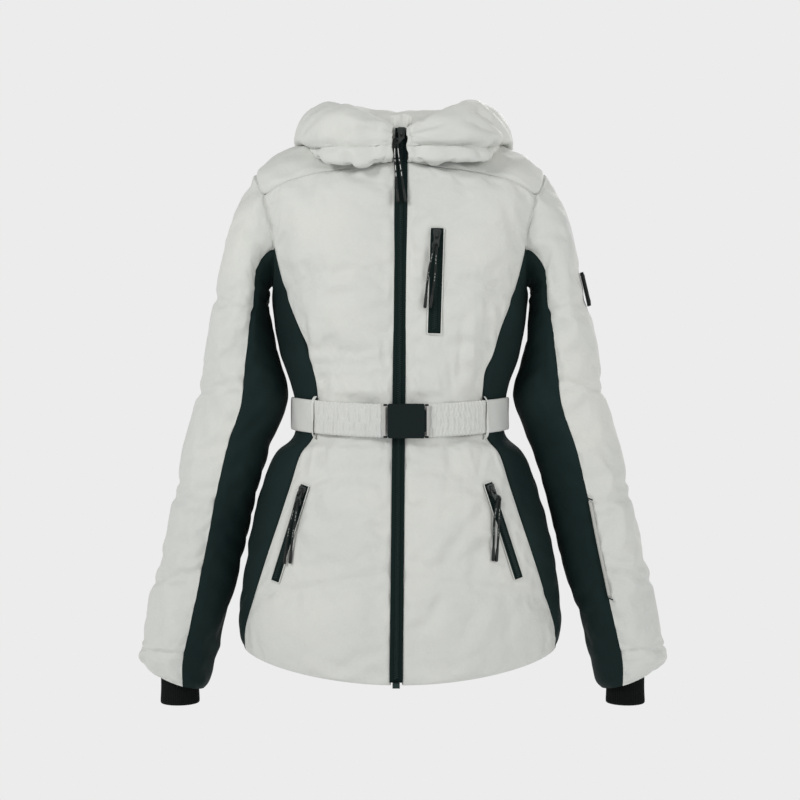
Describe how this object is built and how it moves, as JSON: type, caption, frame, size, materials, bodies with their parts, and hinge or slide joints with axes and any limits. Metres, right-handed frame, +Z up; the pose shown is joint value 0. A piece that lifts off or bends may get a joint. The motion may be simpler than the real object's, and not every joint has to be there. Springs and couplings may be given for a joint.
{
  "type": "ski jacket",
  "caption": "Women's belted ski jacket in padded white fabric with dark stretch side and under-sleeve panels, folded hood, zips with corded pullers and elastic waist belt.",
  "frame": {"origin": "centre of the neck opening, level with the side of the collar's seam", "axes": "+Z up out of the neck opening, the front of the jacket faces -Y, +X is the wearer's left"},
  "size_m": [0.6785, 0.3029, 0.7901],
  "materials": {
    "shell_white": "padded woven shell, soft satin",
    "shell_dark": "stretch woven, matt",
    "lining_cream": "smooth taffeta lining",
    "wadding": "polyester wadding",
    "pocket_lining": "thin pocket cloth",
    "zip_black": "woven zip tape with a moulded chain",
    "teeth_black": "moulded zip teeth",
    "slider_black": "black enamelled die casting",
    "cord_black": "braided cord with moulded tips",
    "belt_elastic": "ruched elastic webbing in shell colour",
    "buckle_black": "moulded, polished face",
    "bar_steel": "dull steel",
    "knit_black": "rib knit",
    "badge_black": "blank moulded badge",
    "pass_zip": "fine coil zip in shell colour"
  },
  "bodies": {
    "jacket_body": {"front_shell_left": "shell_white", "front_shell_right": "shell_white", "yoke_shell_left": "shell_white", "yoke_shell_right": "shell_white", "back_shell": "shell_white", "collar_shell": "shell_white", "hood_left_panel": "shell_white", "hood_right_panel": "shell_white", "side_panel_left": "shell_dark", "side_panel_right": "shell_dark", "body_lining": "lining_cream", "collar_lining": "lining_cream", "wadding_front_left": "wadding", "wadding_front_right": "wadding", "wadding_back": "wadding", "wadding_yoke": "wadding", "chest_pocket_bag": "pocket_lining", "hand_pocket_bag_left": "pocket_lining", "hand_pocket_bag_right": "pocket_lining", "main_zip_tapes": "zip_black", "chest_zip": "zip_black", "hand_zip_left": "zip_black", "hand_zip_right": "zip_black", "main_zip_teeth": "teeth_black", "main_zip_retainer": "teeth_black", "belt_elastic_left": "belt_elastic", "belt_elastic_right": "belt_elastic", "belt_back": "belt_elastic", "belt_loops": "belt_elastic", "hang_loop": "belt_elastic", "buckle_housing": "buckle_black", "buckle_bar_right": "bar_steel"},
    "buckle_side": {"buckle_tongue": "buckle_black", "buckle_bar_left": "bar_steel"},
    "hood": {"hood_crown_panel": "shell_white", "hood_lining": "lining_cream"},
    "sleeve_left": {"sleeve_shell_left": "shell_white", "sleeve_wadding_left": "wadding", "sleeve_under_left": "shell_dark", "sleeve_lining_left": "lining_cream", "wrist_gaiter_left": "knit_black", "sleeve_badge": "badge_black", "pass_zip": "pass_zip"},
    "sleeve_right": {"sleeve_shell_right": "shell_white", "sleeve_wadding_right": "wadding", "sleeve_under_right": "shell_dark", "sleeve_lining_right": "lining_cream", "wrist_gaiter_right": "knit_black"},
    "main_slider_body": {"main_slider": "slider_black"},
    "main_pull": {"main_pull_tab": "slider_black", "main_pull_cords": "cord_black"},
    "chest_slider_body": {"chest_slider": "slider_black"},
    "chest_pull": {"chest_pull_tab": "slider_black", "chest_pull_cords": "cord_black"},
    "hand_left_slider_body": {"hand_left_slider": "slider_black"},
    "hand_left_pull": {"hand_left_pull_tab": "slider_black", "hand_left_pull_cords": "cord_black"},
    "hand_right_slider_body": {"hand_right_slider": "slider_black"},
    "hand_right_pull": {"hand_right_pull_tab": "slider_black", "hand_right_pull_cords": "cord_black"}
  },
  "joints": [
    {"name": "main_zip_slide", "type": "slide", "parent": "jacket_body", "child": "main_slider_body", "axis": [-0.0098, -0.0698, -0.9975], "range_m": [0, 0.22]},
    {"name": "main_pull_lift", "type": "hinge", "parent": "main_slider_body", "child": "main_pull", "pos_m": [0.00192, -0.09369, -0.01739], "axis": [-1, 0.0007, 0.0098], "range_deg": [0, 90]},
    {"name": "chest_zip_slide", "type": "slide", "parent": "jacket_body", "child": "chest_slider_body", "axis": [-0.0304, -0.0715, -0.997], "range_m": [0, 0.108]},
    {"name": "chest_pull_lift", "type": "hinge", "parent": "chest_slider_body", "child": "chest_pull", "pos_m": [0.04585, -0.10676, -0.1462], "axis": [-0.998, 0.0573, 0.0264], "range_deg": [0, 90]},
    {"name": "hand_left_zip_slide", "type": "slide", "parent": "jacket_body", "child": "hand_left_slider_body", "axis": [0.3065, -0.0142, -0.9518], "range_m": [0, 0.1]},
    {"name": "hand_left_pull_lift", "type": "hinge", "parent": "hand_left_slider_body", "child": "hand_left_pull", "pos_m": [0.11568, -0.10535, -0.46329], "axis": [-0.8093, -0.5303, -0.2527], "range_deg": [0, 90]},
    {"name": "hand_right_zip_slide", "type": "slide", "parent": "jacket_body", "child": "hand_right_slider_body", "axis": [-0.2969, -0.003, -0.9549], "range_m": [0, 0.1]},
    {"name": "hand_right_pull_lift", "type": "hinge", "parent": "hand_right_slider_body", "child": "hand_right_pull", "pos_m": [-0.12485, -0.10103, -0.46632], "axis": [-0.7807, 0.5766, 0.2409], "range_deg": [0, 90]},
    {"name": "sleeve_left_swing", "type": "hinge", "parent": "jacket_body", "child": "sleeve_left", "pos_m": [0.193, 0, -0.062], "axis": [0, -1, 0], "range_deg": [0, 30]},
    {"name": "sleeve_right_swing", "type": "hinge", "parent": "jacket_body", "child": "sleeve_right", "pos_m": [-0.193, 0, -0.062], "axis": [0, 1, 0], "range_deg": [0, 30]},
    {"name": "hood_lift", "type": "hinge", "parent": "jacket_body", "child": "hood", "pos_m": [0, 0.072, 0.03], "axis": [1, 0, 0], "range_deg": [0, 60]},
    {"name": "buckle_release", "type": "slide", "parent": "jacket_body", "child": "buckle_side", "axis": [1, 0, 0], "range_m": [0, 0.014], "deforming": ["belt_elastic_left"]}
  ]
}
